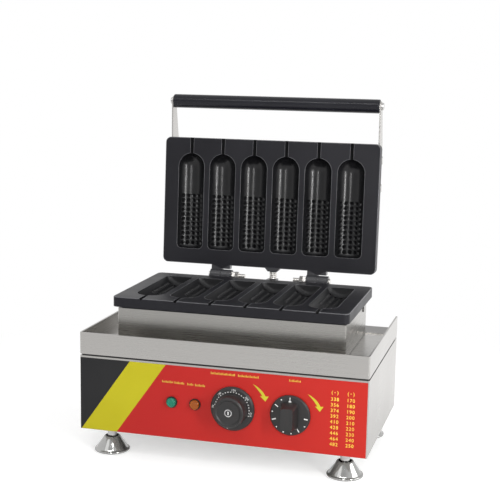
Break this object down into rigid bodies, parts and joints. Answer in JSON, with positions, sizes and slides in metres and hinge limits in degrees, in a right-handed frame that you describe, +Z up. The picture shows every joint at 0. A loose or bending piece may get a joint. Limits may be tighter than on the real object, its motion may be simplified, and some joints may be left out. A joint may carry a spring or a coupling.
{
  "type": "hot dog maker",
  "caption": "Countertop electric hot dog maker: two hinged cast plates with long lens-shaped cavities and stick slots, a drip tray, and a steel housing with dials.",
  "frame": {"origin": "middle of the bounding box's bottom face with the lid open, on the surface that the feet stand on", "axes": "+X to the right seen from the front panel, +Y from the front panel to the back, +Z up"},
  "size_m": [0.4, 0.321, 0.4896],
  "materials": {
    "stainless": "brushed",
    "nonstick_black": "semi-gloss non-stick coating",
    "plated_steel": "bright",
    "dark_screw": "blackened",
    "heater_tube": "heat-tinted",
    "insulation_wool": "soft mineral wool",
    "copper_sensor": "bright",
    "brass_terminal": "bright",
    "panel_print": "printed sheet",
    "knob_black": "semi-gloss",
    "knob_disc": "satin",
    "grip_black": "matt heat-proof plastic",
    "black_plastic": "matt",
    "ceramic_white": "matt",
    "lens_green": "clear tinted",
    "lens_amber": "clear tinted",
    "black_rubber": "matt"
  },
  "bodies": {
    "base": {"base_shell": "stainless", "bottom_plate": "stainless", "bottom_screws": "plated_steel", "rear_cover": "stainless", "rear_cover_screws": "plated_steel", "drip_tray": "stainless", "tray_seal": "black_rubber", "pedestal": "stainless", "pedestal_screws": "dark_screw", "heat_shield": "stainless", "lower_insulation": "insulation_wool", "lower_plate": "nonstick_black", "lower_element": "heater_tube", "lower_clamp_bars": "plated_steel", "lower_clamp_screws": "plated_steel", "thermostat_bulb": "copper_sensor", "hinge_pins": "plated_steel", "hinge_nuts": "plated_steel", "wire_conduit": "plated_steel", "control_panel": "panel_print", "thermostat_body": "black_plastic", "timer_body": "black_plastic", "power_lamp_holder": "black_plastic", "power_lamp_lens": "lens_green", "heat_lamp_holder": "black_plastic", "heat_lamp_lens": "lens_amber", "lamp_nuts": "black_plastic", "terminal_block": "ceramic_white", "cable_gland": "black_plastic", "gland_locknut": "black_plastic", "earth_terminal": "brass_terminal", "earth_nuts": "brass_terminal", "feet": "plated_steel", "foot_pads": "black_rubber", "foot_stems": "plated_steel", "foot_nuts": "plated_steel"},
    "lid": {"upper_plate": "nonstick_black", "upper_element": "heater_tube", "upper_clamp_bars": "plated_steel", "upper_clamp_screws": "plated_steel", "upper_insulation": "insulation_wool", "lid_cover": "stainless", "cover_posts": "plated_steel", "cover_nuts": "plated_steel", "handle_arm_left": "stainless", "handle_arm_right": "stainless", "handle_grip": "grip_black", "handle_rod": "plated_steel", "handle_cap_nuts": "plated_steel", "arm_bolts": "plated_steel", "arm_nuts": "plated_steel"},
    "thermostat_dial": {"thermostat_shaft": "plated_steel", "thermostat_knob": "knob_black", "thermostat_disc": "knob_disc"},
    "timer_dial": {"timer_shaft": "plated_steel", "timer_knob": "knob_black"}
  },
  "joints": [
    {"name": "lid_hinge", "type": "hinge", "parent": "base", "child": "lid", "pos_m": [0, 0.10316, 0.2195], "axis": [1, 0, 0], "range_deg": [0, 93.6], "deforming": ["wire_conduit"]},
    {"name": "thermostat_turn", "type": "hinge", "parent": "base", "child": "thermostat_dial", "pos_m": [0.0193, -0.13494, 0.0883], "axis": [0, 1, 0], "range_deg": [0, 300]},
    {"name": "timer_turn", "type": "hinge", "parent": "base", "child": "timer_dial", "pos_m": [0.0977, -0.13494, 0.0871], "axis": [0, 1, 0], "range_deg": [0, 320]}
  ]
}
